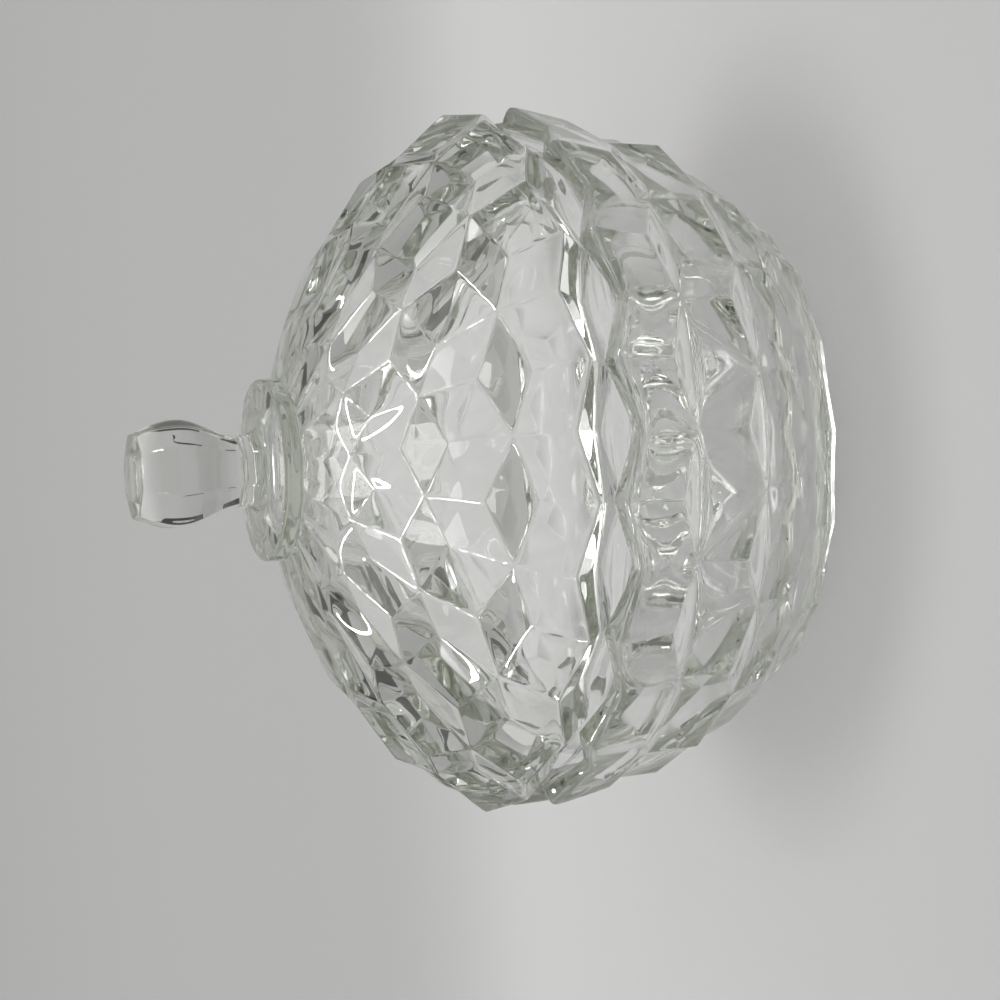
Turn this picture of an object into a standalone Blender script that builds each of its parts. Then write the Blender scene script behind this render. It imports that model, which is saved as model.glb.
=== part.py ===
"""Covered candy dish of clear pressed glass: a faceted bowl and a lift-off domed lid.

Run with: blender --background --python part.py
Metres, +Z up. The dish stands on z = 0 and its turning axis is the Z axis.
The outside of both pieces is cut into rows of diamonds and side faces that look like stacked cubes.
"""

import math

import bmesh
import bpy

# Cube pattern
CUBES_AROUND = 16

# Bowl
FOOT_RADIUS = 0.0513
FOOT_SCALLOP = 0.0017
FOOT_HEIGHT = 0.0028
FOOT_LEAN = 0.0016
RIM_RADIUS = 0.0802
RIM_PEAK_HEIGHT = 0.0593
RIM_ZIGZAG = 0.0040
RIM_TROUGH_TUCK = 0.0024
RIM_SLOPE = 0.36
TROUGH_SLOPE = 0.15
RIM_THICKNESS = 0.0052
FLOOR_THICKNESS = 0.0070
FLOOR_RADIUS = 0.0380
CAVITY_POWER = 0.50
RECESS_MARGIN = 0.0085
RECESS_DEPTH = 0.0015

# Lid
LID_REST_GAP = 0.0003
LID_RIM_TUCK = 0.0007
LID_POINT_TUCK = 0.0009
LID_RIM_SLOPE = 0.97
LID_ZIGZAG = 0.0048
DOME_RISE = 0.0478
CROWN_THICKNESS = 0.0065
DOME_INSIDE_START = 0.0065
FLANGE_DEPTH = 0.0075
FLANGE_CLEARANCE = 0.0010
FLANGE_WALL = 0.0026
COLLAR_RADIUS = 0.0205
COLLAR_THICKNESS = 0.0046
COLLAR_ROUNDING = 0.0012
COLLAR_OVERHANG = 0.0020
KNOB_SIDES = 8
KNOB_HEIGHT = 0.0290
KNOB_NECK_RADIUS = 0.0082
KNOB_BELLY_RADIUS = 0.0129
KNOB_TOP_RADIUS = 0.0102
KNOB_BELLY_HEIGHT = 0.0195
KNOB_FILLET = 0.0026
KNOB_EDGE_ROUNDING = 0.0011

# Diamond rows. Each has the side tips' inset from the rim and height, then the top corner's
# reach out and up from the tips, then the bottom corner's reach out and up.
# Heights are above the table on the bowl and above the rim's points on the lid.
BOWL_ROWS = (
    (0.0210, 0.0102, 0.0039, 0.0040, -0.0040, -0.0038),
    (0.0127, 0.0233, 0.0054, 0.0053, -0.0032, -0.0029),
    (0.0067, 0.0408, 0.0031, 0.0044, -0.0019, -0.0047),
)
LID_ROWS = (
    (0.0096, 0.0158, -0.0039, 0.0054, 0.0019, -0.0051),
    (0.0250, 0.0308, -0.0045, 0.0038, 0.0009, -0.0054),
    (0.0435, 0.0417, -0.0050, 0.0015, 0.0035, -0.0042),
)

# How finely the turned shapes are cut
TURN_STEPS = 64
CURVE_STEPS = 12
BURIED = 0.0020

HALF_STEP = math.pi / CUBES_AROUND
MOUTH_RADIUS = RIM_RADIUS - RIM_THICKNESS
SEAT_HEIGHT = RIM_PEAK_HEIGHT + RIM_SLOPE * RIM_THICKNESS
LID_RADIUS = RIM_RADIUS - LID_RIM_TUCK
LID_POINT_RADIUS = LID_RADIUS - LID_POINT_TUCK
LID_POINT_HEIGHT = SEAT_HEIGHT + LID_REST_GAP + LID_RIM_SLOPE * (LID_POINT_RADIUS - MOUTH_RADIUS)
FLANGE_BOTTOM = SEAT_HEIGHT - FLANGE_DEPTH
COLLAR_BOTTOM = LID_POINT_HEIGHT + DOME_RISE
COLLAR_TOP = COLLAR_BOTTOM + COLLAR_THICKNESS
KNOB_TOP = COLLAR_TOP + KNOB_HEIGHT


def clear_scene():
    for old in list(bpy.data.objects):
        bpy.data.objects.remove(old, do_unlink=True)


def new_collection(name):
    group = bpy.data.collections.new(name)
    bpy.context.scene.collection.children.link(group)
    return group


def clear_glass(name, colour):
    material = bpy.data.materials.new(name)
    material.use_nodes = True
    shader = material.node_tree.nodes["Principled BSDF"]
    shader.inputs["Base Color"].default_value = (*colour, 1.0)
    shader.inputs["Roughness"].default_value = 0.03
    shader.inputs["Metallic"].default_value = 0.0
    shader.inputs["IOR"].default_value = 1.51
    shader.inputs["Transmission Weight"].default_value = 1.0
    return material


def cavity_radius(height):
    """Inner radius of the bowl, which opens from its flat floor to the mouth."""
    share = min(max((height - FLOOR_THICKNESS) / (SEAT_HEIGHT - FLOOR_THICKNESS), 0.0), 1.0)
    return FLOOR_RADIUS + (MOUTH_RADIUS - FLOOR_RADIUS) * share ** CAVITY_POWER


def diamond_rings(row, outer_radius, base_height, tips_on_steps):
    """The two zigzag rings round a row of diamonds, lower one first.

    Both rings share the side tips. The top corners stand prouder than the bottom corners,
    so each diamond is the underside of a cube.
    """
    inset, height, top_out, top_up, bottom_out, bottom_up = row
    side = (outer_radius - inset, base_height + height)
    high = (side[0] + top_out, side[1] + top_up)
    low = (side[0] + bottom_out, side[1] + bottom_up)
    if tips_on_steps:
        return [(side, low), (side, high)]
    return [(low, side), (high, side)]


def faceted_solid(name, rings, group):
    """Pull a ring of points up through a list of rings and close both ends.

    Each ring is a pair of (radius, height): one for the points on whole steps of the
    pattern and one for the points half way between.
    """
    mesh = bmesh.new()
    first = bmesh.ops.create_circle(mesh, cap_ends=False, segments=2 * CUBES_AROUND, radius=1.0)
    loop = first["verts"]
    edges = list(mesh.edges)
    for count, ring in enumerate(rings):
        if count:
            pulled = bmesh.ops.extrude_edge_only(mesh, edges=edges)["geom"]
            loop = [item for item in pulled if isinstance(item, bmesh.types.BMVert)]
            grown = set(loop)
            edges = [edge for vert in loop for edge in vert.link_edges]
            edges = list({edge for edge in edges if set(edge.verts) <= grown})
        for vert in loop:
            angle = math.atan2(vert.co.y, vert.co.x)
            step = round(angle / HALF_STEP)
            radius, height = ring[step % 2]
            vert.co = (radius * math.cos(step * HALF_STEP), radius * math.sin(step * HALF_STEP), height)
    bmesh.ops.remove_doubles(mesh, verts=mesh.verts, dist=0.00005)
    ends = [edge for edge in mesh.edges if edge.is_boundary]
    bmesh.ops.holes_fill(mesh, edges=ends)
    caps = [face for face in mesh.faces if len(face.verts) > 4]
    bmesh.ops.poke(mesh, faces=caps)
    bmesh.ops.recalc_face_normals(mesh, faces=mesh.faces)
    return mesh_object(name, mesh, group)


def mesh_object(name, mesh, group):
    data = bpy.data.meshes.new(name)
    mesh.to_mesh(data)
    mesh.free()
    item = bpy.data.objects.new(name, data)
    group.objects.link(item)
    return item


def turned(name, profile, group, steps=TURN_STEPS):
    """Turn a profile of (radius, height) pairs, listed from top to bottom, about the Z axis."""
    data = bpy.data.meshes.new(name)
    points = [(radius, 0.0, height) for radius, height in profile]
    links = [(place, place + 1) for place in range(len(points) - 1)]
    data.from_pydata(points, links, [])
    item = bpy.data.objects.new(name, data)
    group.objects.link(item)
    screw = item.modifiers.new("Turn", "SCREW")
    screw.axis = "Z"
    screw.angle = math.tau
    screw.steps = steps
    screw.render_steps = steps
    screw.use_merge_vertices = True
    screw.merge_threshold = 0.00002
    screw.use_smooth_shade = steps == TURN_STEPS
    return item


def combine(target, tool, operation):
    """Add or cut away another solid with a live Boolean."""
    modifier = target.modifiers.new(tool.name, "BOOLEAN")
    modifier.operation = operation
    modifier.solver = "EXACT"
    modifier.object = tool
    tool.hide_render = True
    tool.display_type = "WIRE"


def build_bowl(parts, cutters):
    rim_trough = (RIM_RADIUS - RIM_TROUGH_TUCK, RIM_PEAK_HEIGHT - RIM_ZIGZAG)
    rim_peak = (RIM_RADIUS, RIM_PEAK_HEIGHT)
    inside = MOUTH_RADIUS - 2.0 * BURIED
    inner_trough = (inside, rim_trough[1] + TROUGH_SLOPE * (rim_trough[0] - inside))
    inner_peak = (inside, rim_peak[1] + RIM_SLOPE * (rim_peak[0] - inside))

    rings = []
    for reach, height in ((0.0, 0.0), (FOOT_LEAN, FOOT_HEIGHT)):
        out = FOOT_RADIUS + reach
        rings.append(((out, height), (out - FOOT_SCALLOP, height)))
    for count, row in enumerate(BOWL_ROWS):
        rings += diamond_rings(row, RIM_RADIUS, 0.0, count % 2 == 0)
    rings += [(rim_trough, rim_peak), (inner_trough, inner_peak)]
    bowl = faceted_solid("bowl", rings, parts)

    heights = [FLOOR_THICKNESS + (SEAT_HEIGHT - FLOOR_THICKNESS) * (share / CURVE_STEPS) ** 2
               for share in range(CURVE_STEPS, -1, -1)]
    hollow = [(0.0, KNOB_TOP), (MOUTH_RADIUS, KNOB_TOP)]
    hollow += [(cavity_radius(height), height) for height in heights]
    hollow.append((0.0, FLOOR_THICKNESS))
    combine(bowl, turned("bowl_hollow", hollow, cutters), "DIFFERENCE")

    recess = FOOT_RADIUS - RECESS_MARGIN
    under = [(0.0, RECESS_DEPTH), (recess - RECESS_DEPTH, RECESS_DEPTH), (recess + BURIED, -BURIED)]
    under.append((0.0, -BURIED))
    combine(bowl, turned("bowl_recess", under, cutters), "DIFFERENCE")
    bowl.data.materials.append(clear_glass("bowl_glass", (0.93, 0.95, 0.93)))
    return bowl


def knob_profile():
    """Outline of the knob from its flat top down to the collar."""
    belly = COLLAR_TOP + KNOB_BELLY_HEIGHT
    neck = COLLAR_TOP + KNOB_FILLET * 2.0
    points = [(0.0, KNOB_TOP), (KNOB_TOP_RADIUS - KNOB_EDGE_ROUNDING, KNOB_TOP)]
    for count in range(5):
        share = count / 4.0
        swell = math.sin(share * math.pi / 2.0)
        radius = KNOB_TOP_RADIUS + (KNOB_BELLY_RADIUS - KNOB_TOP_RADIUS) * swell
        points.append((radius, KNOB_TOP - KNOB_EDGE_ROUNDING + share * (belly - KNOB_TOP + KNOB_EDGE_ROUNDING)))
    for count in range(1, 7):
        share = count / 6.0
        shrink = (1.0 - math.cos(share * math.pi)) / 2.0
        radius = KNOB_BELLY_RADIUS + (KNOB_NECK_RADIUS - KNOB_BELLY_RADIUS) * shrink
        points.append((radius, belly + share * (neck - belly)))
    points.append((KNOB_NECK_RADIUS, COLLAR_TOP - BURIED))
    points.append((0.0, COLLAR_TOP - BURIED))
    return points


def collar_profile():
    """Outline of the round collar with the small fillet that carries the knob."""
    points = [(0.0, COLLAR_TOP + KNOB_FILLET)]
    for count in range(5):
        turn = count / 4.0 * math.pi / 2.0
        radius = KNOB_NECK_RADIUS + KNOB_FILLET * (1.0 - math.cos(turn))
        points.append((radius, COLLAR_TOP + KNOB_FILLET * (1.0 - math.sin(turn))))
    for middle, start in ((COLLAR_TOP - COLLAR_ROUNDING, 0.0), (COLLAR_BOTTOM + COLLAR_ROUNDING, 0.5)):
        for count in range(4):
            turn = (start + count / 6.0) * math.pi
            radius = COLLAR_RADIUS - COLLAR_ROUNDING + COLLAR_ROUNDING * math.sin(turn)
            points.append((radius, middle + COLLAR_ROUNDING * math.cos(turn)))
    root = COLLAR_RADIUS - COLLAR_OVERHANG
    points += [(root - BURIED, COLLAR_BOTTOM), (root - BURIED, COLLAR_BOTTOM - BURIED)]
    points.append((0.0, COLLAR_BOTTOM - BURIED))
    return points


def build_lid(parts, cutters):
    point = (LID_POINT_RADIUS, LID_POINT_HEIGHT)
    notch = (LID_RADIUS, LID_POINT_HEIGHT + LID_ZIGZAG)
    flange_radius = cavity_radius(FLANGE_BOTTOM) - FLANGE_CLEARANCE
    inside = flange_radius - BURIED / 2.0
    root = (COLLAR_RADIUS - COLLAR_OVERHANG, COLLAR_BOTTOM + BURIED / 4.0)

    low_notch = (inside, notch[1] - LID_RIM_SLOPE * (notch[0] - inside))
    low_point = (inside, point[1] - LID_RIM_SLOPE * (point[0] - inside))
    rings = [(low_notch, low_point), (notch, point)]
    for count, row in enumerate(LID_ROWS):
        rings += diamond_rings(row, LID_RADIUS, LID_POINT_HEIGHT, count % 2 == 0)
    rings.append((root, root))
    lid = faceted_solid("lid", rings, parts)

    flange_inner = flange_radius - FLANGE_WALL
    flange_top = SEAT_HEIGHT + LID_ZIGZAG + 2.0 * BURIED
    round_off = FLANGE_WALL / 4.0
    flange = [(0.0, flange_top), (flange_radius, flange_top), (flange_radius, FLANGE_BOTTOM + round_off)]
    flange += [(flange_radius - round_off, FLANGE_BOTTOM), (0.0, FLANGE_BOTTOM)]
    combine(lid, turned("lid_flange", flange, cutters), "UNION")
    combine(lid, turned("lid_collar", collar_profile(), cutters), "UNION")

    knob = turned("lid_knob", knob_profile(), cutters, KNOB_SIDES)
    knob.rotation_euler.z = math.pi / KNOB_SIDES
    soften = knob.modifiers.new("Soften", "BEVEL")
    soften.width = KNOB_EDGE_ROUNDING
    soften.segments = 2
    soften.limit_method = "ANGLE"
    soften.angle_limit = math.radians(35.0)
    combine(lid, knob, "UNION")

    crown = COLLAR_BOTTOM - CROWN_THICKNESS
    rise = crown - SEAT_HEIGHT - DOME_INSIDE_START
    ball = (flange_inner ** 2 + rise ** 2) / (2.0 * rise)
    reaches = [flange_inner * share / CURVE_STEPS for share in range(CURVE_STEPS + 1)]
    hollow = [(reach, crown - ball + math.sqrt(ball ** 2 - reach ** 2)) for reach in reaches]
    hollow += [(flange_inner, FLANGE_BOTTOM - BURIED), (0.0, FLANGE_BOTTOM - BURIED)]
    combine(lid, turned("lid_hollow", hollow, cutters), "DIFFERENCE")
    lid.data.materials.append(clear_glass("lid_glass", (0.94, 0.95, 0.94)))
    return lid


def main():
    clear_scene()
    parts = new_collection("covered_candy_dish")
    cutters = new_collection("cutters")
    build_bowl(parts, cutters)
    build_lid(parts, cutters)


main()
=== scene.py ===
"""Studio scene of a covered candy dish in clear pressed glass.

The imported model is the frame. The bowl and the lid are modelled again here, each as one closed
pressing with fire-polished edges and a smooth round inside, and stand on a pale sweep in soft light.
"""

import logging
import math
from dataclasses import dataclass
from enum import Enum
from typing import Callable

import bmesh
import bpy
from mathutils import Matrix, Vector

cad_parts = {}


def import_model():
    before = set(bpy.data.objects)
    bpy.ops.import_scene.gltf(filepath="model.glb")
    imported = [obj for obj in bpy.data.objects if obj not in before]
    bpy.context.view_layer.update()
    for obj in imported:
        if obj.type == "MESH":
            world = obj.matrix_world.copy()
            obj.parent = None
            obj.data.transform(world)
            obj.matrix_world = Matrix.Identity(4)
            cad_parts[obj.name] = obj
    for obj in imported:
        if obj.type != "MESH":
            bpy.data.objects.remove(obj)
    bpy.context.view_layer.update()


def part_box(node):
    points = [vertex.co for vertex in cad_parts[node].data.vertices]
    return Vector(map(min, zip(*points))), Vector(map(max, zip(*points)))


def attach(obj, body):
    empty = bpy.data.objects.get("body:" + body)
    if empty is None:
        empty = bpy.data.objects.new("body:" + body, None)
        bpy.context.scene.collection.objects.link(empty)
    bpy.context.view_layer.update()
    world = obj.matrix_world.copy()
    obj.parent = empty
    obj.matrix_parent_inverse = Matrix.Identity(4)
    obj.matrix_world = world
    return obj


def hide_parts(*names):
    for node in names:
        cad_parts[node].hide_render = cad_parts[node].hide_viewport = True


LOG = logging.getLogger("candy_dish")

Spot = tuple[float, float]
RingRule = Callable[[int], Spot]


class TipPlace(Enum):
    """Where the side tips of a row of diamonds lie round the dish."""

    ON_STEP = 0
    HALF_STEP = 1


class LampUse(Enum):
    """What a lamp does: lights the paper, or only shows as glints on the glass."""

    SOFT = 0
    GLINT = 1


@dataclass(frozen=True)
class DiamondRow:
    """A row of diamonds, each the underside of a cube, that touch at their side tips.

    Attributes:
        inset: How far the side tips lie inside the rim's radius.
        height: Height of the side tips.
        top: Reach of the top corner out and up from the tips.
        bottom: Reach of the bottom corner out and up from the tips.
        edge: Share of the full edge rounding on the row's edges.
    """

    inset: float
    height: float
    top: Spot
    bottom: Spot
    edge: float


@dataclass(frozen=True)
class GlassFinish:
    """Clear soda glass with a faint grey-green body and the slow ripple of a pressed surface."""

    name: str
    body_colour: tuple[float, float, float] = (0.79, 0.81, 0.755)
    body_density: float = 20.0
    ior: float = 1.5
    roughness: float = 0.0
    ripple_size: float = 95.0
    ripple_height: float = 0.000025
    grain_size: float = 650.0
    grain_height: float = 0.000003

    def make(self) -> bpy.types.Material:
        """Make the glass material.

        Returns:
            A material with a clear shader, a rippled normal and an absorbing body.
        """
        material = bpy.data.materials.new(self.name)
        material.use_nodes = True
        tree = material.node_tree
        shader = tree.nodes["Principled BSDF"]
        shader.inputs["Base Color"].default_value = (1.0, 1.0, 1.0, 1.0)
        shader.inputs["Roughness"].default_value = self.roughness
        shader.inputs["IOR"].default_value = self.ior
        shader.inputs["Transmission Weight"].default_value = 1.0
        ripple = self.add_bump(tree, self.ripple_size, self.ripple_height)
        grain = self.add_bump(tree, self.grain_size, self.grain_height)
        tree.links.new(ripple.outputs["Normal"], grain.inputs["Normal"])
        tree.links.new(grain.outputs["Normal"], shader.inputs["Normal"])
        body = tree.nodes.new("ShaderNodeVolumeAbsorption")
        body.inputs["Color"].default_value = (*self.body_colour, 1.0)
        body.inputs["Density"].default_value = self.body_density
        tree.links.new(body.outputs["Volume"], tree.nodes["Material Output"].inputs["Volume"])
        return material

    def add_bump(self, tree: bpy.types.NodeTree, size: float, height: float) -> bpy.types.Node:
        """Add soft waves to the surface.

        Args:
            tree: The glass's nodes.
            size: Waves per metre.
            height: Height of the waves in metres.

        Returns:
            The bump node.
        """
        place = tree.nodes.new("ShaderNodeTexCoord")
        waves = tree.nodes.new("ShaderNodeTexNoise")
        waves.inputs["Scale"].default_value = size
        waves.inputs["Detail"].default_value = 1.0
        bump = tree.nodes.new("ShaderNodeBump")
        bump.inputs["Strength"].default_value = 1.0
        bump.inputs["Distance"].default_value = height
        tree.links.new(place.outputs["Object"], waves.inputs["Vector"])
        tree.links.new(waves.outputs["Fac"], bump.inputs["Height"])
        return bump


@dataclass(frozen=True)
class SweepPaperAndPaintedLight:
    """Matt paper of the studio sweep, with painted light and shade: a little darker where it rises behind the
    dish, lightest on the floor just behind the dish and darker towards the front.

    Part of its tone is the same under every light, so that the dish casts a pale shadow.
    """

    name: str = "sweep_paper"
    # Pairs of Y and grey tone: painted light and shade, lighter and darker where the light falls more or less
    # on the floor and wall.
    painted_light_tones: tuple[Spot, ...] = ((-0.15, 0.49), (0.06, 0.55), (0.18, 0.58), (0.30, 0.46), (0.40, 0.495))
    tint: tuple[float, float, float] = (1.0, 0.995, 0.99)
    even_tone: float = 0.30
    roughness: float = 0.9

    def make(self) -> bpy.types.Material:
        """Make the paper material.

        Returns:
            A matt material whose tone changes along Y, as painted light and shade.
        """
        material = bpy.data.materials.new(self.name)
        material.use_nodes = True
        tree = material.node_tree
        shader = tree.nodes["Principled BSDF"]
        shader.inputs["Roughness"].default_value = self.roughness
        shader.inputs["Specular IOR Level"].default_value = 0.0
        place = tree.nodes.new("ShaderNodeTexCoord")
        split = tree.nodes.new("ShaderNodeSeparateXYZ")
        share = tree.nodes.new("ShaderNodeMapRange")
        first = self.painted_light_tones[0][0]
        last = self.painted_light_tones[-1][0]
        share.inputs["From Min"].default_value = first
        share.inputs["From Max"].default_value = last
        ramp = tree.nodes.new("ShaderNodeValToRGB")
        ramp.color_ramp.interpolation = "EASE"
        while len(ramp.color_ramp.elements) < len(self.painted_light_tones):
            ramp.color_ramp.elements.new(0.5)
        # The stops are painted light and shade: lightest on the floor just behind the dish, darker towards
        # the front and where the paper rises into the wall.
        for stop, (along, tone) in zip(ramp.color_ramp.elements, self.painted_light_tones):
            stop.position = (along - first) / (last - first)
            stop.color = (tone * self.tint[0], tone * self.tint[1], tone * self.tint[2], 1.0)
        tree.links.new(place.outputs["Object"], split.inputs["Vector"])
        tree.links.new(split.outputs["Y"], share.inputs["Value"])
        tree.links.new(share.outputs["Result"], ramp.inputs["Fac"])
        tree.links.new(ramp.outputs["Color"], shader.inputs["Base Color"])
        self.add_even_tone(tree, ramp.outputs["Color"])
        return material

    def add_even_tone(self, tree: bpy.types.NodeTree, colour: bpy.types.NodeSocket) -> None:
        """Mix in the tone that camera, mirror and glass rays see under every light.

        Args:
            tree: The paper's nodes.
            colour: Socket with the paper's colour, which carries its painted light and shade.
        """
        tone = tree.nodes.new("ShaderNodeEmission")
        path = tree.nodes.new("ShaderNodeLightPath")
        first = tree.nodes.new("ShaderNodeMath")
        first.operation = "MAXIMUM"
        second = tree.nodes.new("ShaderNodeMath")
        second.operation = "MAXIMUM"
        share = tree.nodes.new("ShaderNodeMath")
        share.operation = "MULTIPLY"
        share.inputs[1].default_value = self.even_tone
        mix = tree.nodes.new("ShaderNodeMixShader")
        tree.links.new(path.outputs["Is Camera Ray"], first.inputs[0])
        tree.links.new(path.outputs["Is Glossy Ray"], first.inputs[1])
        tree.links.new(first.outputs["Value"], second.inputs[0])
        tree.links.new(path.outputs["Is Transmission Ray"], second.inputs[1])
        tree.links.new(second.outputs["Value"], share.inputs[0])
        tree.links.new(share.outputs["Value"], mix.inputs["Fac"])
        tree.links.new(colour, tone.inputs["Color"])
        tree.links.new(tree.nodes["Principled BSDF"].outputs["BSDF"], mix.inputs[1])
        tree.links.new(tone.outputs["Emission"], mix.inputs[2])
        self.open_back(tree, mix.outputs["Shader"])

    def open_back(self, tree: bpy.types.NodeTree, paper: bpy.types.NodeSocket) -> None:
        """Leave the paper's back clear, so that the dish can be seen from behind the sweep.

        Args:
            tree: The paper's nodes.
            paper: Socket with the paper's shader.
        """
        side = tree.nodes.new("ShaderNodeNewGeometry")
        clear = tree.nodes.new("ShaderNodeBsdfTransparent")
        choice = tree.nodes.new("ShaderNodeMixShader")
        tree.links.new(side.outputs["Backfacing"], choice.inputs["Fac"])
        tree.links.new(paper, choice.inputs[1])
        tree.links.new(clear.outputs["BSDF"], choice.inputs[2])
        tree.links.new(choice.outputs["Shader"], tree.nodes["Material Output"].inputs["Surface"])


def deselect_all() -> None:
    """Leave nothing selected in object mode."""
    if bpy.context.mode != "OBJECT":
        bpy.ops.object.mode_set(mode="OBJECT")
    bpy.ops.object.select_all(action="DESELECT")


@dataclass
class PressedPiece:
    """A piece of pressed glass, pulled ring by ring from one circle of points.

    A ring has two points for each cube round the dish: one on each whole step of the pattern
    and one half way between.
    """

    name: str
    body: str
    node: str
    slot: str
    cubes_around: int = 16
    edge_round: float = 0.0020
    edge_segments: int = 2
    smoothing: int = 2

    def __post_init__(self) -> None:
        """Work out the angle between neighbouring ring points."""
        self.half_step = math.pi / self.cubes_around

    def begin(self, radius: float, height: float) -> None:
        """Add the first small ring, closed by a face, and stay in edit mode.

        Args:
            radius: Radius of the ring.
            height: Height of the ring.
        """
        deselect_all()
        bpy.ops.mesh.primitive_circle_add(
            vertices=2 * self.cubes_around, radius=radius, fill_type="NGON", location=(0.0, 0.0, height)
        )
        bpy.context.object.name = self.name
        bpy.context.object.data.name = self.name
        bpy.ops.object.transform_apply(location=True, rotation=True, scale=True)
        bpy.ops.object.mode_set(mode="EDIT")
        bpy.ops.mesh.select_mode(type="EDGE")
        bpy.ops.mesh.select_all(action="SELECT")
        self.place(lambda step: (radius, height))

    def step_of(self, vert: bmesh.types.BMVert) -> int:
        """Step number of a ring point, counted round the dish."""
        return round(math.atan2(vert.co.y, vert.co.x) / self.half_step) % (2 * self.cubes_around)

    def place(self, rule: RingRule) -> None:
        """Set the selected ring's points by their step number round the dish.

        Args:
            rule: Gives the radius and height for a step number.
        """
        mesh = bmesh.from_edit_mesh(bpy.context.object.data)
        for vert in mesh.verts:
            if vert.select:
                step = self.step_of(vert)
                radius, height = rule(step)
                turn = step * self.half_step
                vert.co = (radius * math.cos(turn), radius * math.sin(turn), height)
        bmesh.update_edit_mesh(bpy.context.object.data)

    def pull(self, rule: RingRule, ring_edge: float = 0.0, side_edge: float = 0.0, every: int = 1) -> None:
        """Extrude the selected ring, set the new ring's points and note how its edges are rounded.

        Args:
            rule: Gives the radius and height for a step number.
            ring_edge: Share of the full edge rounding on the new ring, 0 for a smooth run.
            side_edge: Share of the full edge rounding on the edges between the two rings.
            every: Only every so many steps has a side edge, counted from half of that number.
        """
        bpy.ops.mesh.extrude_edges_move()
        self.place(rule)
        mesh = bmesh.from_edit_mesh(bpy.context.object.data)
        weights = mesh.edges.layers.float.get("bevel_weight_edge")
        if weights is None:
            weights = mesh.edges.layers.float.new("bevel_weight_edge")
            mesh = bmesh.from_edit_mesh(bpy.context.object.data)
        ring = [edge for edge in mesh.edges if edge.select]
        points = {vert for edge in ring for vert in edge.verts}
        for edge in ring:
            edge[weights] = ring_edge
        for vert in points:
            for edge in vert.link_edges:
                if not edge.select:
                    on_edge = every == 1 or self.step_of(vert) % every == every // 2
                    edge[weights] = side_edge if on_edge else 0.0
        bmesh.update_edit_mesh(bpy.context.object.data)

    def close(self) -> bpy.types.Object:
        """Close the last ring, weld the tips, clear the diamonds and round the edges.

        Returns:
            The finished object, in object mode.
        """
        bpy.ops.mesh.edge_face_add()
        bpy.ops.mesh.select_all(action="SELECT")
        bpy.ops.mesh.remove_doubles(threshold=0.00002)
        bpy.ops.mesh.select_all(action="DESELECT")
        mesh = bmesh.from_edit_mesh(bpy.context.object.data)
        for edge in mesh.edges:
            beside = [len(face.verts) for face in edge.link_faces]
            edge.select_set(beside == [3, 3])
        bmesh.update_edit_mesh(bpy.context.object.data)
        bpy.ops.mesh.dissolve_edges(use_verts=False)
        bpy.ops.mesh.select_all(action="SELECT")
        bpy.ops.mesh.normals_make_consistent(inside=False)
        bpy.ops.object.mode_set(mode="OBJECT")
        bpy.ops.object.modifier_add(type="BEVEL")
        polish = bpy.context.object.modifiers[-1]
        polish.limit_method = "WEIGHT"
        polish.offset_type = "OFFSET"
        polish.width = self.edge_round
        polish.segments = self.edge_segments
        polish.use_clamp_overlap = False
        bpy.ops.object.modifier_apply(modifier=polish.name)
        bpy.ops.object.modifier_add(type="SUBSURF")
        smooth = bpy.context.object.modifiers[-1]
        smooth.levels = self.smoothing
        smooth.render_levels = self.smoothing
        bpy.ops.object.modifier_apply(modifier=smooth.name)
        bpy.ops.object.shade_smooth()
        return bpy.context.object

    def even(self, radius: float, height: float) -> RingRule:
        """A round ring at one height."""
        return lambda step: (radius, height)

    def zigzag(self, on_step: Spot, half_way: Spot) -> RingRule:
        """A ring whose points alternate between two spots."""
        return lambda step: half_way if step % 2 else on_step

    def diamonds(self, row: DiamondRow, rim: Spot, tips: TipPlace, upwards: bool) -> None:
        """Pull the two zigzag rings that hold a row of diamonds.

        Args:
            row: Where the row's corners lie.
            rim: Radius that the row's inset and height that its heights are counted from.
            tips: Where the side tips lie round the dish.
            upwards: True if the rings are pulled from the bottom up.
        """
        side = (rim[0] - row.inset, rim[1] + row.height)
        high = (side[0] + row.top[0], side[1] + row.top[1])
        low = (side[0] + row.bottom[0], side[1] + row.bottom[1])
        for end in (low, high) if upwards else (high, low):
            rule = self.zigzag(side, end) if tips is TipPlace.ON_STEP else self.zigzag(end, side)
            self.pull(rule, row.edge, row.edge)

    def dress(self, piece: bpy.types.Object, finish: GlassFinish) -> None:
        """Give the piece its glass, put it on its body and let it stand for its CAD node.

        Args:
            piece: The finished object.
            finish: The glass it is made of.
        """
        piece.data.materials.clear()
        piece.data.materials.append(finish.make())
        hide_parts(self.node)
        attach(piece, self.body)
        LOG.info("%s: %d faces", piece.name, len(piece.data.polygons))


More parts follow.
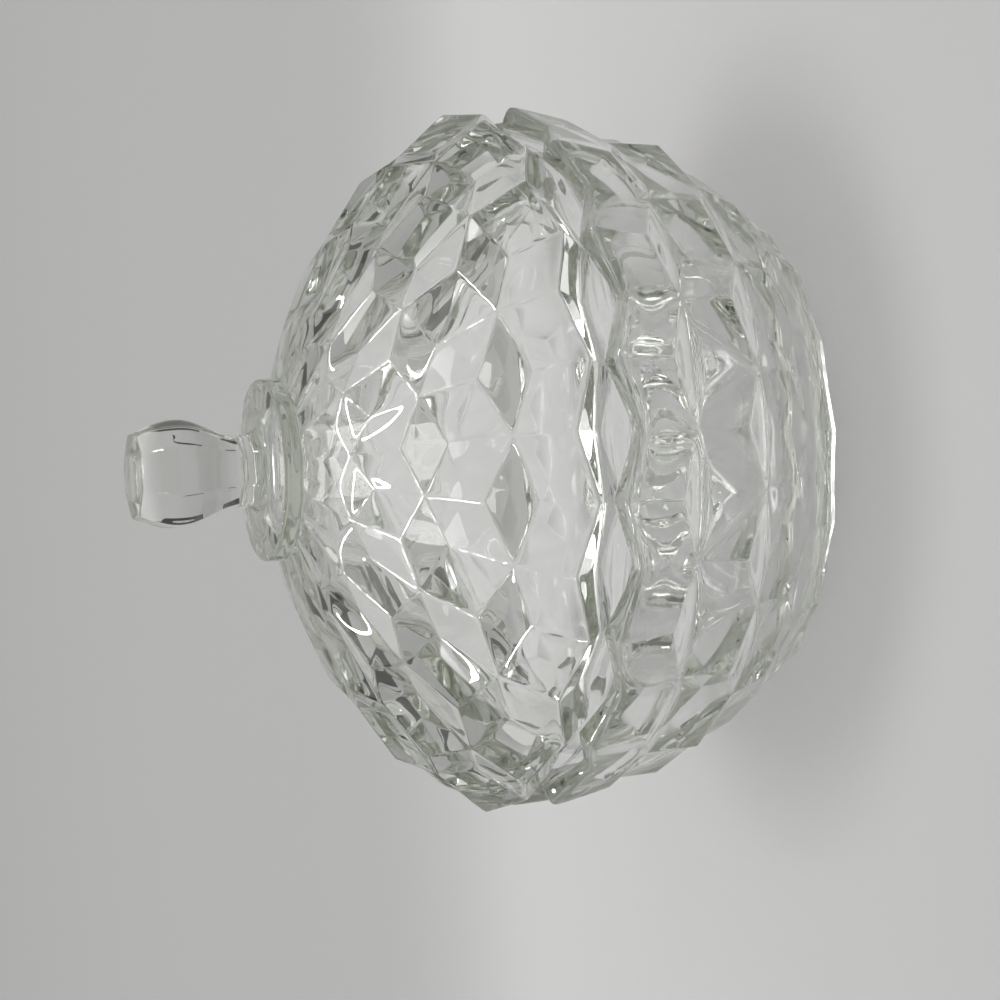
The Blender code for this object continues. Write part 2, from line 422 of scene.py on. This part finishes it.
@dataclass
class Bowl(PressedPiece):
    """The bowl: a low scalloped foot with a star under it, three rows of cubes and a zigzag rim."""

    foot_radius: float = 0.0513
    foot_scallop: float = 0.0017
    foot_height: float = 0.0028
    foot_lean: float = 0.0016
    rim_radius: float = 0.0802
    rim_zigzag: float = 0.0040
    rim_tuck: float = 0.0024
    rim_slope: float = 0.36
    trough_slope: float = 0.15
    rim_thickness: float = 0.0052
    rim_edge: float = 0.7
    mouth_edge: float = 0.35
    foot_edge: float = 0.30
    floor_thickness: float = 0.0070
    floor_radius: float = 0.0380
    inside_power: float = 0.50
    recess_margin: float = 0.0085
    recess_depth: float = 0.0015
    star_depth: float = 0.0018
    star_edge: float = 0.1
    star_shares: tuple[float, ...] = (0.10, 0.55, 0.50, 0.88)
    inside_heights: tuple[float, ...] = (
        0.0510, 0.0440, 0.0365, 0.0290, 0.0220, 0.0165, 0.0120, 0.0090, 0.0076,
    )
    floor_shares: tuple[float, ...] = (0.96, 0.65, 0.35, 0.12)
    rows: tuple[DiamondRow, ...] = (
        DiamondRow(0.0210, 0.0102, (0.0039, 0.0040), (-0.0040, -0.0038), 0.4),
        DiamondRow(0.0127, 0.0233, (0.0054, 0.0053), (-0.0032, -0.0029), 0.4),
        DiamondRow(0.0067, 0.0408, (0.0031, 0.0044), (-0.0019, -0.0047), 0.4),
    )

    def __post_init__(self) -> None:
        """Take the rim's height from the frame."""
        super().__post_init__()
        self.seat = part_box(self.node)[1][2]
        self.mouth = self.rim_radius - self.rim_thickness

    def inside(self, height: float) -> float:
        """Inner radius at a height."""
        share = min(max((height - self.floor_thickness) / (self.seat - self.floor_thickness), 0.0), 1.0)
        return self.floor_radius + (self.mouth - self.floor_radius) * share ** self.inside_power

    def build(self) -> bpy.types.Object:
        """Model the bowl.

        Returns:
            The finished object.
        """
        self.model_foot()
        for count, row in enumerate(self.rows):
            tips = TipPlace.HALF_STEP if count % 2 else TipPlace.ON_STEP
            self.diamonds(row, (self.rim_radius, 0.0), tips, upwards=True)
        self.model_rim()
        self.model_inside()
        return self.close()

    def model_foot(self) -> None:
        """Pull the recessed underside and the foot."""
        recess = self.foot_radius - self.recess_margin
        groove = self.recess_depth + self.star_depth
        middle, tip, valley, outer = (share * recess for share in self.star_shares)
        self.begin(middle, groove)
        self.pull(self.zigzag((tip, groove), (valley, self.recess_depth)), 0.0, self.star_edge)
        self.pull(self.even(outer, self.recess_depth), self.star_edge, self.star_edge)
        self.pull(self.even(recess - self.recess_depth, self.recess_depth), self.foot_edge)
        self.pull(self.even(recess, 0.0), self.foot_edge)
        for reach, height in ((0.0, 0.0), (self.foot_lean, self.foot_height)):
            out = self.foot_radius + reach
            rule = self.zigzag((out, height), (out - self.foot_scallop, height))
            self.pull(rule, self.foot_edge, self.foot_edge)

    def model_rim(self) -> None:
        """Pull the zigzag rim, which slopes down towards the outside."""
        peak = (self.rim_radius, self.seat - self.rim_slope * self.rim_thickness)
        trough = (self.rim_radius - self.rim_tuck, peak[1] - self.rim_zigzag)
        self.pull(self.zigzag(trough, peak), self.rim_edge, self.rows[-1].edge)
        inner_trough = (self.mouth, trough[1] + self.trough_slope * (trough[0] - self.mouth))
        self.pull(self.zigzag(inner_trough, (self.mouth, self.seat)), self.mouth_edge, self.mouth_edge)

    def model_inside(self) -> None:
        """Pull the smooth inside down to the middle of the floor."""
        for height in self.inside_heights:
            self.pull(self.even(self.inside(height), height))
        for share in self.floor_shares:
            self.pull(self.even(share * self.floor_radius, self.floor_thickness))


@dataclass
class Lid(PressedPiece):
    """The lid: an eight-sided knob on a round collar, three rows of cubes, a zigzag rim and a flange."""

    seat: float = 0.0
    radius: float = 0.0795
    mouth: float = 0.0750
    rim_slope: float = 0.97
    rest_gap: float = 0.0003
    rim_zigzag: float = 0.0048
    rim_tuck: float = 0.0009
    rim_edge: float = 0.5
    dome_rise: float = 0.0478
    crown_thickness: float = 0.0040
    inside_curve: tuple[Spot, ...] = (
        (0.990, 0.045), (0.960, 0.110), (0.915, 0.200), (0.855, 0.300), (0.770, 0.415), (0.665, 0.540),
        (0.550, 0.665), (0.430, 0.785), (0.310, 0.885), (0.200, 0.950), (0.090, 0.990),
    )
    flange_radius: float = 0.0713
    flange_wall: float = 0.0026
    flange_edge: float = 0.2
    flange_side_edge: float = 0.3
    flange_round: float = 0.0008
    collar_radius: float = 0.0205
    collar_thickness: float = 0.0046
    collar_overhang: float = 0.0020
    rib_depth: float = 0.0014
    rib_edge: float = 0.2
    knob_neck: float = 0.0082
    knob_belly: float = 0.0129
    knob_top: float = 0.0102
    knob_belly_height: float = 0.0195
    knob_fillet: float = 0.0026
    knob_edge: float = 0.4
    collar_edge: float = 0.3
    rows: tuple[DiamondRow, ...] = (
        DiamondRow(0.0435, 0.0417, (-0.0050, 0.0015), (0.0035, -0.0042), 0.4),
        DiamondRow(0.0250, 0.0308, (-0.0045, 0.0038), (0.0009, -0.0054), 0.4),
        DiamondRow(0.0096, 0.0158, (-0.0027, 0.0058), (0.0006, -0.0055), 0.4),
    )

    def __post_init__(self) -> None:
        """Take the lid's top and bottom from the frame."""
        super().__post_init__()
        low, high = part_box(self.node)
        self.flange_bottom = low[2]
        self.summit = high[2]
        self.point = self.seat + self.rest_gap + self.rim_slope * (self.radius - self.rim_tuck - self.mouth)
        self.collar_bottom = self.point + self.dome_rise
        self.collar_top = self.collar_bottom + self.collar_thickness

    def eight_sided(self, radius: float, height: float, roundness: float = 0.0) -> RingRule:
        """A ring with eight flat sides, facing along the axes and half way between.

        Args:
            radius: Radius of the corners.
            height: Height of the ring.
            roundness: 0 for flat sides, 1 for a circle.

        Returns:
            The rule for the ring's points.
        """
        eighth = math.pi / 4.0
        flat = radius * math.cos(eighth / 2.0)

        def rule(step: int) -> Spot:
            """The spot for a step number."""
            off = (step * self.half_step + eighth / 2.0) % eighth - eighth / 2.0
            side = flat / math.cos(off)
            return side + (radius - side) * roundness, height

        return rule

    def build(self) -> bpy.types.Object:
        """Model the lid.

        Returns:
            The finished object.
        """
        self.model_knob()
        self.model_collar()
        for count, row in enumerate(self.rows):
            tips = TipPlace.HALF_STEP if count % 2 else TipPlace.ON_STEP
            self.diamonds(row, (self.radius, self.point), tips, upwards=False)
        self.model_rim()
        self.model_inside()
        return self.close()

    def model_knob(self) -> None:
        """Pull the knob down from its flat top to its neck."""
        belly = self.collar_top + self.knob_belly_height
        neck = self.collar_top + 2.0 * self.knob_fillet
        self.begin(0.0030, self.summit)
        self.pull(self.eight_sided(0.0065, self.summit))
        self.pull(self.eight_sided(self.knob_top, self.summit), self.knob_edge)
        for share in (0.35, 0.7, 1.0):
            swell = math.sin(share * math.pi / 2.0)
            radius = self.knob_top + (self.knob_belly - self.knob_top) * swell
            height = self.summit + share * (belly - self.summit)
            self.pull(self.eight_sided(radius, height), 0.0, self.knob_edge, 4)
        for share in (0.25, 0.5, 0.75, 1.0):
            shrink = (1.0 - math.cos(share * math.pi)) / 2.0
            radius = self.knob_belly + (self.knob_neck - self.knob_belly) * shrink
            self.pull(self.eight_sided(radius, belly + share * (neck - belly)), 0.0, self.knob_edge, 4)

    def model_collar(self) -> None:
        """Pull the fillet, the round collar and its undercut."""
        fillet = self.knob_fillet
        self.pull(self.eight_sided(self.knob_neck + 0.3 * fillet, self.collar_top + 0.8 * fillet, 0.5))
        self.pull(self.even(self.knob_neck + fillet, self.collar_top + 0.12 * fillet))
        self.pull(self.even(0.5 * (self.knob_neck + fillet + self.collar_radius), self.collar_top))
        self.pull(self.even(self.collar_radius, self.collar_top), self.collar_edge)
        self.pull(self.even(self.collar_radius, self.collar_bottom), self.collar_edge)
        root = self.collar_radius - self.collar_overhang
        rule = self.zigzag((root, self.collar_bottom - self.rib_depth), (root, self.collar_bottom))
        self.pull(rule, self.rib_edge)

    def model_rim(self) -> None:
        """Pull the zigzag rim and the flange that drops into the bowl's mouth."""
        notch = self.point + self.rim_zigzag
        rule = self.zigzag((self.radius, notch), (self.radius - self.rim_tuck, self.point))
        self.pull(rule, self.rim_edge, self.rows[-1].edge)
        reach = self.flange_radius
        low_notch = notch - self.rim_slope * (self.radius - reach)
        low_point = self.point - self.rim_slope * (self.radius - self.rim_tuck - reach)
        rule = self.zigzag((reach, low_notch), (reach, low_point))
        self.pull(rule, self.flange_edge, self.flange_side_edge)
        self.pull(self.even(reach, self.flange_bottom + 0.0030))
        self.pull(self.even(reach, self.flange_bottom + 0.0010))
        self.pull(self.even(reach - self.flange_round, self.flange_bottom))
        inner = self.flange_radius - self.flange_wall
        self.pull(self.even(inner + self.flange_round, self.flange_bottom))
        self.pull(self.even(inner, self.flange_bottom + 0.0012))

    def model_inside(self) -> None:
        """Pull the smooth inside up to the middle of the crown."""
        inner = self.flange_radius - self.flange_wall
        rise = self.collar_bottom - self.crown_thickness - self.seat
        self.pull(self.even(inner, self.seat - 0.0020))
        for reach, share in self.inside_curve:
            self.pull(self.even(inner * reach, self.seat + rise * share))


@dataclass
class Sweep:
    """The paper sweep that the dish stands on: a floor that curves up into a wall."""

    half_width: float = 2.80
    wall_half_width: float = 0.60
    front: float = -2.20
    turn_start: float = 0.22
    turn_radius: float = 0.22
    wall_height: float = 0.45
    gap: float = 0.0002
    turn_steps: int = 12

    def build(self) -> bpy.types.Object:
        """Model the sweep.

        Returns:
            The sweep.
        """
        deselect_all()
        bpy.ops.mesh.primitive_plane_add(size=2.0)
        sweep = bpy.context.object
        sweep.name = "sweep"
        bpy.ops.object.mode_set(mode="EDIT")
        bpy.ops.mesh.select_mode(type="EDGE")
        mesh = bmesh.from_edit_mesh(sweep.data)
        for vert in mesh.verts:
            vert.co.x *= self.half_width
            vert.co.y = self.turn_start if vert.co.y > 0.0 else self.front
            vert.co.z = -self.gap
        for edge in mesh.edges:
            edge.select_set(all(vert.co.y > 0.0 for vert in edge.verts))
        bmesh.update_edit_mesh(sweep.data)
        last = Vector((0.0, self.turn_start, -self.gap))
        for count in range(1, self.turn_steps + 1):
            turn = math.pi / 2.0 * count / self.turn_steps
            along = self.turn_start + self.turn_radius * math.sin(turn)
            up = self.turn_radius * (1.0 - math.cos(turn)) - self.gap
            step = Vector((0.0, along, up)) - last
            bpy.ops.mesh.extrude_edges_move(TRANSFORM_OT_translate={"value": step})
            last += step
        bpy.ops.mesh.extrude_edges_move(TRANSFORM_OT_translate={"value": (0.0, 0.0, self.wall_height)})
        mesh = bmesh.from_edit_mesh(sweep.data)
        for vert in mesh.verts:
            if vert.co.y > 0.0:
                vert.co.x = math.copysign(self.wall_half_width, vert.co.x)
        bmesh.update_edit_mesh(sweep.data)
        bpy.ops.object.mode_set(mode="OBJECT")
        bpy.ops.object.shade_smooth()
        sweep.data.materials.append(SweepPaperAndPaintedLight().make())
        return sweep


@dataclass(frozen=True)
class DarkFlag:
    """A dark upright card just outside the picture, which gives the glass its dark lines."""

    name: str
    start: Spot
    end: Spot
    low: float
    high: float
    colour: tuple[float, float, float] = (0.012, 0.008, 0.005)

    def stand(self) -> bpy.types.Object:
        """Add the card to the stage.

        Returns:
            The card.
        """
        deselect_all()
        bpy.ops.mesh.primitive_plane_add(size=2.0)
        card = bpy.context.object
        card.name = self.name
        for vert in card.data.vertices:
            end = self.end if vert.co.x > 0.0 else self.start
            vert.co = (*end, self.high if vert.co.y > 0.0 else self.low)
        material = bpy.data.materials.new(self.name)
        material.use_nodes = True
        shader = material.node_tree.nodes["Principled BSDF"]
        shader.inputs["Base Color"].default_value = (*self.colour, 1.0)
        shader.inputs["Roughness"].default_value = 0.8
        card.data.materials.append(material)
        card.visible_camera = False
        card.visible_diffuse = False
        card.visible_shadow = False
        return card


@dataclass(frozen=True)
class Lamp:
    """A rectangular lamp that points at the dish."""

    name: str
    place: tuple[float, float, float]
    width: float
    height: float
    power: float
    use: LampUse
    aim: tuple[float, float, float] = (0.0, 0.0, 0.06)

    def hang(self) -> None:
        """Add the lamp to the scene."""
        lamp = bpy.data.lights.new(self.name, "AREA")
        lamp.shape = "RECTANGLE"
        lamp.size = self.width
        lamp.size_y = self.height
        lamp.energy = self.power
        item = bpy.data.objects.new(self.name, lamp)
        item.location = self.place
        item.visible_glossy = self.use is LampUse.GLINT
        item.visible_diffuse = self.use is LampUse.SOFT
        item.visible_transmission = self.use is LampUse.SOFT
        away = Vector(self.place) - Vector(self.aim)
        item.rotation_euler = away.to_track_quat("Z", "Y").to_euler()
        bpy.context.scene.collection.objects.link(item)


@dataclass
class Studio:
    """The lamps, dark cards, grey room and camera, which lies on its side as in the photograph."""

    camera_reach: float = 0.9013
    camera_height: float = 0.3513
    camera_turn: float = -4.0
    camera_side: float = 0.0005
    pitch: float = 17.81
    yaw: float = -0.60
    roll: float = 2.56
    focal_pixels: float = 4185.0
    frame_pixels: float = 1000.0
    sensor: float = 36.0
    room_front: tuple[float, float, float] = (0.11, 0.108, 0.104)
    room_side: tuple[float, float, float] = (0.62, 0.62, 0.61)
    room_high: tuple[float, float, float] = (1.00, 1.00, 1.00)
    front_turn: tuple[float, float] = (-0.75, -0.20)
    high_turn: tuple[float, float] = (0.30, 0.65)
    lamps: tuple[Lamp, ...] = (
        Lamp("top_soft", (0.0, 0.25, 1.20), 0.60, 0.60, 5.5, LampUse.SOFT),
        Lamp("back_strip", (0.0, 0.55, 1.10), 1.10, 0.014, 11.0, LampUse.GLINT),
        Lamp("top_strip", (0.0, 0.12, 1.20), 1.10, 0.014, 11.0, LampUse.GLINT),
        Lamp("left_strip", (-0.75, -0.42, 0.55), 0.02, 0.45, 5.0, LampUse.GLINT),
        Lamp("right_strip", (0.75, -0.42, 0.55), 0.02, 0.45, 5.0, LampUse.GLINT),
    )

    flags: tuple[DarkFlag, ...] = (
        DarkFlag("flag_left", (-0.133, 0.15), (-0.140, 0.285), 0.03, 0.20),
        DarkFlag("flag_left_far", (-0.1440, 0.3650), (-0.147, 0.42), 0.0, 0.20),
        DarkFlag("flag_right", (0.155, 0.15), (0.179, 0.285), 0.03, 0.20),
        DarkFlag("flag_right_far", (0.197, 0.387), (0.204, 0.42), 0.0, 0.20),
    )
    bounces: int = 32
    mirror_bounces: int = 16

    def light(self) -> None:
        """Stand the cards, hang the lamps and set the room's level."""
        for flag in self.flags:
            flag.stand()
        for lamp in self.lamps:
            lamp.hang()
        world = bpy.data.worlds.new("grey_room")
        world.use_nodes = True
        tree = world.node_tree
        place = tree.nodes.new("ShaderNodeTexCoord")
        split = tree.nodes.new("ShaderNodeSeparateXYZ")
        tree.links.new(place.outputs["Generated"], split.inputs["Vector"])
        low = self.add_blend(tree, split.outputs["Y"], self.front_turn)
        low.inputs["A"].default_value = (*self.room_front, 1.0)
        low.inputs["B"].default_value = (*self.room_side, 1.0)
        high = self.add_blend(tree, split.outputs["Z"], self.high_turn)
        high.inputs["B"].default_value = (*self.room_high, 1.0)
        tree.links.new(low.outputs["Result"], high.inputs["A"])
        tree.links.new(high.outputs["Result"], tree.nodes["Background"].inputs["Color"])
        bpy.context.scene.world = world
        scene = bpy.context.scene
        scene.view_settings.view_transform = "Standard"
        scene.cycles.max_bounces = self.bounces
        scene.cycles.transmission_bounces = self.bounces
        scene.cycles.glossy_bounces = self.mirror_bounces

    def add_blend(
        self, tree: bpy.types.NodeTree, value: bpy.types.NodeSocket, turn: tuple[float, float]
    ) -> bpy.types.Node:
        """Add a soft change from one colour to another.

        Args:
            tree: The room's nodes.
            value: Socket that the change follows.
            turn: Values where the change starts and ends.

        Returns:
            The mix node, its two colours still to be set.
        """
        share = tree.nodes.new("ShaderNodeMapRange")
        share.interpolation_type = "SMOOTHSTEP"
        share.inputs["From Min"].default_value = turn[0]
        share.inputs["From Max"].default_value = turn[1]
        blend = tree.nodes.new("ShaderNodeMix")
        blend.data_type = "RGBA"
        tree.links.new(value, share.inputs["Value"])
        tree.links.new(share.outputs["Result"], blend.inputs["Factor"])
        return blend

    def aim(self) -> None:
        """Place the camera where the photograph was taken, turned a quarter so the knob points left."""
        pitch = math.radians(self.pitch)
        yaw = math.radians(self.yaw)
        roll = math.radians(self.roll)
        spin = Matrix.Rotation(math.radians(self.camera_turn), 3, "Z")
        forward = Vector((math.sin(yaw) * math.cos(pitch), math.cos(yaw) * math.cos(pitch), -math.sin(pitch)))
        right = Vector((math.cos(yaw), -math.sin(yaw), 0.0))
        upward = right.cross(forward)
        level_right = right * math.cos(roll) - upward * math.sin(roll)
        level_up = right * math.sin(roll) + upward * math.cos(roll)
        across = spin @ -level_up
        along = spin @ level_right
        back = spin @ -forward
        place = spin @ Vector((self.camera_side, -self.camera_reach, self.camera_height))
        camera = bpy.data.cameras.new("photo_camera")
        camera.sensor_width = self.sensor
        camera.lens = self.focal_pixels / self.frame_pixels * self.sensor
        item = bpy.data.objects.new("photo_camera", camera)
        turned = Matrix((across, along, back)).transposed().to_4x4()
        item.matrix_world = Matrix.Translation(place) @ turned
        bpy.context.scene.collection.objects.link(item)
        bpy.context.scene.camera = item


def main() -> None:
    """Build the scene in order."""
    logging.basicConfig(level=logging.INFO, format="%(name)s: %(message)s")
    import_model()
    bowl = Bowl(name="bowl_glass", body="bowl", node="bowl", slot="bowl_glass")
    bowl.dress(bowl.build(), GlassFinish("clear_bowl_glass", body_density=14.0))
    lid = Lid(name="lid_glass", body="lid", node="lid", slot="lid_glass", seat=bowl.seat)
    lid.dress(lid.build(), GlassFinish("clear_lid_glass"))
    Sweep().build()
    studio = Studio()
    studio.light()
    studio.aim()


if __name__ == "__main__":
    main()
